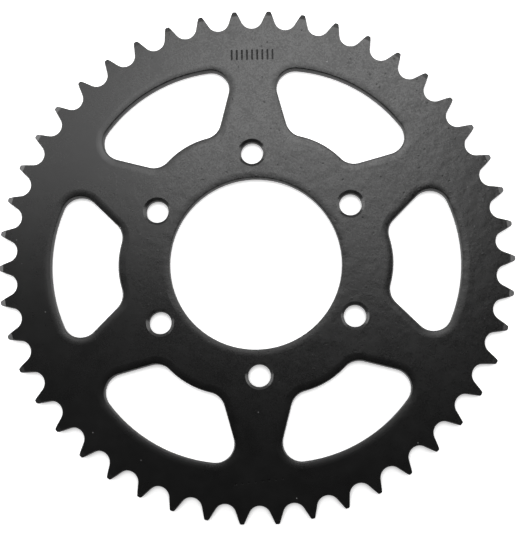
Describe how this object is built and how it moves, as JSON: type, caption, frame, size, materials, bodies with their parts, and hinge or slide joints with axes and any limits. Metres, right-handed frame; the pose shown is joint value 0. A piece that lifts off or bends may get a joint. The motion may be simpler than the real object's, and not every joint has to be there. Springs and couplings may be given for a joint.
{
  "type": "motorcycle rear sprocket",
  "caption": "Flat toothed steel plate with a centre bore, a bolt circle and lightening windows, bolted to a wheel hub and turned by a drive chain.",
  "frame": {"origin": "centre of the bore, on the flat back face that bolts against the hub", "axes": "+Z along the bore's axis, from the back face to the outer face; +X through the middle of a tooth and of a lightening window"},
  "size_m": [0.2398, 0.2392, 0.0059],
  "materials": {
    "black_finish": "thin satin black coating over blanked carbon steel"
  },
  "bodies": {
    "root": {"sprocket_plate": "black_finish"}
  },
  "joints": []
}
